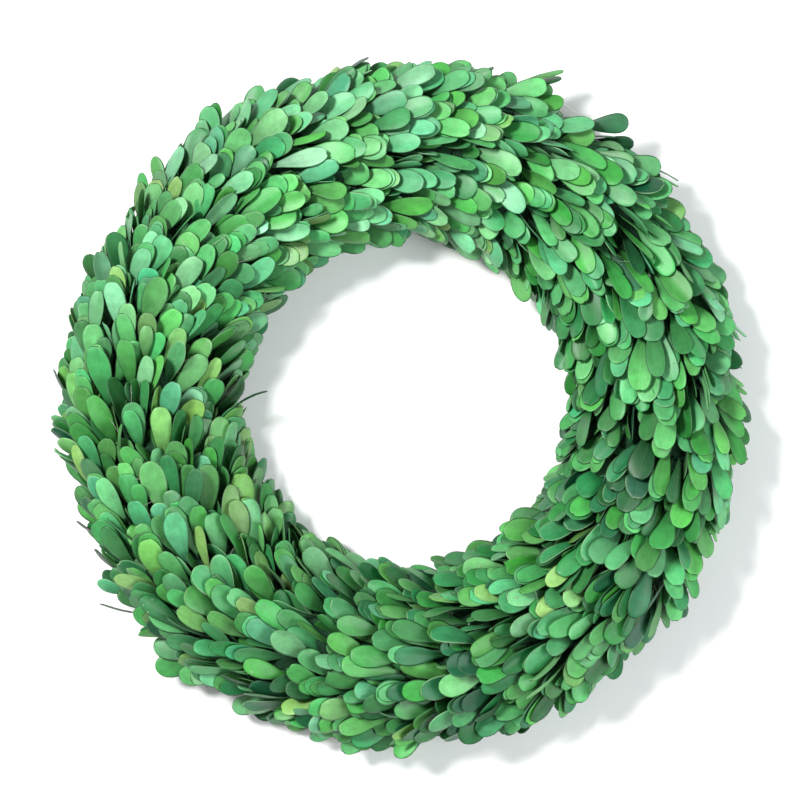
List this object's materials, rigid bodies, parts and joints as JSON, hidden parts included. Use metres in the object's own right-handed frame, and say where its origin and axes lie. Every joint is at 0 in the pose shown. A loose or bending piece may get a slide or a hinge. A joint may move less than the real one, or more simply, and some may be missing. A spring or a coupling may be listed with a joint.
{
  "type": "preserved boxwood leaf wreath",
  "caption": "Round wreath of preserved green boxwood leaves glued like shingles, all pointing clockwise, on a straw ring with a flat back and an open middle",
  "frame": {"origin": "on the surface that the wreath lies on, below the middle of its hole", "axes": "+Z out of the wreath's face towards the viewer, +Y up and +X right as it is seen in the picture; leaves point clockwise seen from +Z"},
  "size_m": [0.3599, 0.3613, 0.0715],
  "materials": {
    "straw": "dry bound straw, matt",
    "leaf_green": "preserved leaf, satin",
    "leaf_light_green": "preserved leaf, satin",
    "leaf_deep_green": "preserved leaf, satin"
  },
  "bodies": {
    "root": {"straw_ring": "straw", "outer_bunch_01": "leaf_green", "outer_bunch_02": "leaf_light_green", "outer_bunch_03": "leaf_green", "outer_bunch_04": "leaf_deep_green", "outer_bunch_05": "leaf_green", "outer_bunch_06": "leaf_green", "outer_bunch_07": "leaf_light_green", "outer_bunch_08": "leaf_green", "outer_bunch_09": "leaf_deep_green", "outer_bunch_10": "leaf_green", "outer_bunch_11": "leaf_green", "outer_bunch_12": "leaf_light_green", "outer_bunch_13": "leaf_green", "outer_bunch_14": "leaf_deep_green", "outer_bunch_15": "leaf_green", "outer_bunch_16": "leaf_green", "front_bunch_01": "leaf_light_green", "front_bunch_02": "leaf_green", "front_bunch_03": "leaf_deep_green", "front_bunch_04": "leaf_green", "front_bunch_05": "leaf_green", "front_bunch_06": "leaf_light_green", "front_bunch_07": "leaf_green", "front_bunch_08": "leaf_deep_green", "front_bunch_09": "leaf_green", "front_bunch_10": "leaf_green", "front_bunch_11": "leaf_light_green", "front_bunch_12": "leaf_green", "front_bunch_13": "leaf_deep_green", "front_bunch_14": "leaf_green", "front_bunch_15": "leaf_green", "front_bunch_16": "leaf_light_green", "inner_bunch_01": "leaf_green", "inner_bunch_02": "leaf_deep_green", "inner_bunch_03": "leaf_green", "inner_bunch_04": "leaf_green", "inner_bunch_05": "leaf_light_green", "inner_bunch_06": "leaf_green", "inner_bunch_07": "leaf_deep_green", "inner_bunch_08": "leaf_green", "inner_bunch_09": "leaf_green", "inner_bunch_10": "leaf_light_green", "inner_bunch_11": "leaf_green", "inner_bunch_12": "leaf_deep_green", "inner_bunch_13": "leaf_green", "inner_bunch_14": "leaf_green", "inner_bunch_15": "leaf_light_green", "inner_bunch_16": "leaf_green"}
  },
  "joints": []
}
